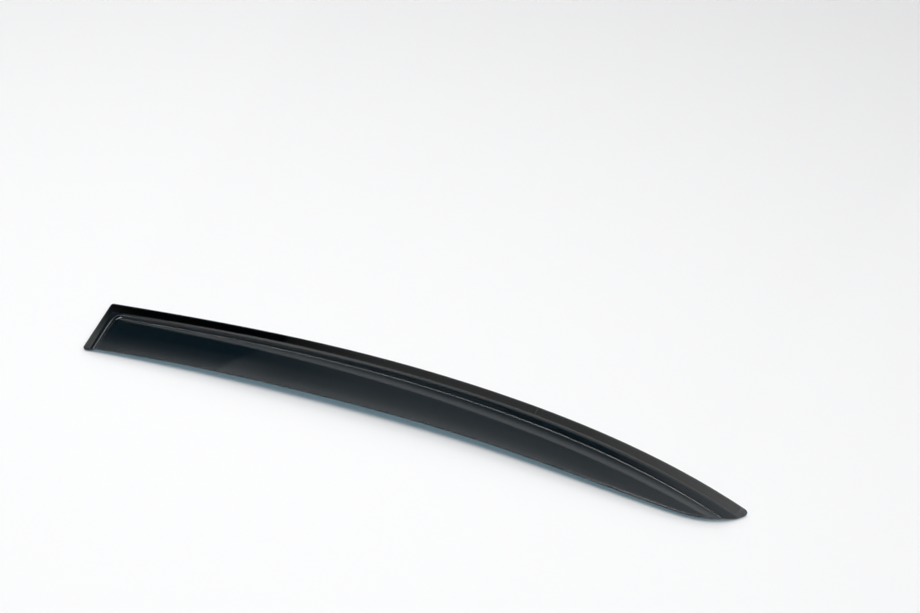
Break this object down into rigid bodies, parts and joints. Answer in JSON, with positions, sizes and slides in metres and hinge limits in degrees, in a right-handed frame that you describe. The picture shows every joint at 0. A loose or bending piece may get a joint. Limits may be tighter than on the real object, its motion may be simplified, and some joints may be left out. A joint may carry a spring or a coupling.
{
  "type": "window rain deflector",
  "caption": "Smoked acrylic rain deflector for a rear car window: bowed bonding flange along the top and pillar end, ramped up to a crowned shield that narrows to a nose.",
  "frame": {"origin": "bottom centre of the bounding box, on the surface that the bonding tape lies on", "axes": "+X along the window from the square pillar end to the nose, +Y towards the bonded top edge, +Z out of the car, up as it lies"},
  "size_m": [0.7724, 0.1122, 0.0207],
  "materials": {
    "smoked_acrylic": "polished see-through smoke tint",
    "foam_tape": "matt closed-cell foam"
  },
  "bodies": {
    "root": {"deflector_shell": "smoked_acrylic", "top_tape_long": "foam_tape", "top_tape_short": "foam_tape", "end_tape_upper": "foam_tape", "end_tape_lower": "foam_tape"}
  },
  "joints": []
}
